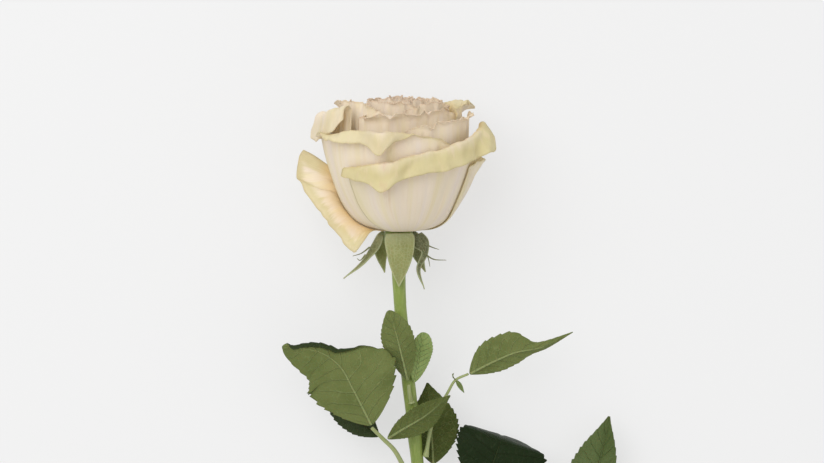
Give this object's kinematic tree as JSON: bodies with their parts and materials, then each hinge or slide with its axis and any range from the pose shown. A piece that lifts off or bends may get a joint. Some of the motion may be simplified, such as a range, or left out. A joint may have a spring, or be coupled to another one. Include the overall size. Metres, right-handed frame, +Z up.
{
  "type": "cut rose",
  "caption": "A half-open cream rose with yellow-green rims on a long leafy stem with prickles, lying on its side, for a vase, a bouquet or a table",
  "frame": {"origin": "the middle of the lying rose's footprint, on the table", "axes": "+Z up from the table, +Y along the stem from its cut end towards the flower, +X to the right seen from above with the flower at the top"},
  "size_m": [0.1546, 0.4002, 0.0791],
  "materials": {
    "petal": "soft matte petal, cream",
    "rim_petal": "soft matte petal with a yellow-green rim",
    "heart_petal": "soft matte petal, pale peach",
    "sepal": "matte green sepal with a pale edge",
    "leaf": "green leaf, glossy above and dull beneath",
    "stalk": "satin green stalk",
    "stem": "satin green stem"
  },
  "bodies": {
    "root": {"petal_guard_left": "rim_petal", "petal_guard_right": "rim_petal", "petal_front": "rim_petal", "petal_face": "petal", "petal_back_right": "petal", "petal_back_left": "petal", "petal_shoulder_left": "petal", "petal_shoulder_right": "petal", "petal_nape": "petal", "petal_ear_right": "petal", "petal_brow": "petal", "petal_ear_left": "petal", "petal_heart_1": "heart_petal", "petal_heart_2": "heart_petal", "petal_heart_3": "heart_petal", "petal_heart_4": "heart_petal", "petal_heart_5": "heart_petal", "petal_heart_6": "heart_petal", "petal_heart_7": "heart_petal", "petal_heart_8": "heart_petal", "petal_heart_9": "heart_petal", "petal_heart_10": "heart_petal", "petal_heart_11": "heart_petal", "petal_heart_12": "heart_petal", "petal_heart_13": "heart_petal", "petal_heart_14": "heart_petal", "sepal_front": "sepal", "sepal_right": "sepal", "sepal_left": "sepal", "sepal_back_left": "sepal", "sepal_back_right": "sepal", "stem": "stem", "leaf_left_end": "leaf", "leaf_left_low": "leaf", "leaf_left_high": "leaf", "leaf_top_end": "leaf", "leaf_top_side": "leaf", "leaf_right_end": "leaf", "leaf_right_bud_1": "leaf", "leaf_right_bud_2": "leaf", "leaf_shade_end": "leaf", "leaf_low_left": "leaf", "leaf_low_right": "leaf", "leaf_low_end": "leaf", "leaf_left_stalk": "stalk", "leaf_top_stalk": "stalk", "leaf_right_stalk": "stalk", "leaf_shade_stalk": "stalk", "leaf_low_stalk": "stalk"}
  },
  "joints": []
}
